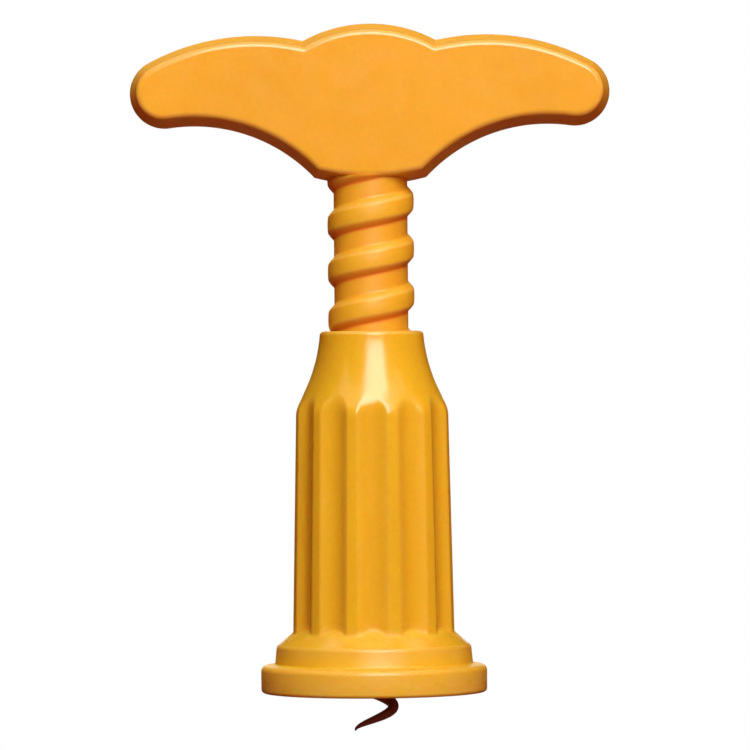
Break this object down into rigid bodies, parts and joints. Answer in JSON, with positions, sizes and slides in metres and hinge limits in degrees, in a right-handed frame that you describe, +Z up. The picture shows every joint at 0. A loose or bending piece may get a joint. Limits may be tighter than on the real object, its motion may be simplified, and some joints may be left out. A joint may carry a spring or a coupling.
{
  "type": "t-handle corkscrew",
  "caption": "Hand corkscrew: wing handle on a coarse-threaded spindle that drives a steel worm through a fluted bell, which stands on the bottle and draws the cork.",
  "frame": {"origin": "on the screw's axis, in the plane of the bell's foot", "axes": "+Z up along the screw's axis from the foot to the handle, X along the handle's span, the handle's front face towards -Y"},
  "size_m": [0.096, 0.0452, 0.1415],
  "materials": {
    "orange_plastic": "moulded, semi-gloss",
    "acetal": "moulded",
    "plated_steel": "zinc plated",
    "coated_steel": "dark low-friction coating"
  },
  "bodies": {
    "bell": {"bell": "orange_plastic", "drive_nut": "acetal"},
    "stop_collar": {"stop_collar": "plated_steel"},
    "screw": {"spindle": "orange_plastic", "worm_ferrule": "plated_steel", "worm": "coated_steel", "handle_front_shell": "orange_plastic", "handle_rear_shell": "orange_plastic"}
  },
  "joints": [
    {"name": "spindle_travel", "type": "slide", "parent": "bell", "child": "stop_collar", "axis": [0, 0, 1], "range_m": [-0.02878, 0.01551]},
    {"name": "handle_turn", "type": "hinge", "parent": "stop_collar", "child": "screw", "pos_m": [0, 0, 0.04], "axis": [0, 0, 1], "range_deg": [-1095, 590]}
  ],
  "couplings": [
    {"joint": "spindle_travel", "follows": "handle_turn", "m_per_rad": 0.0015056}
  ]
}
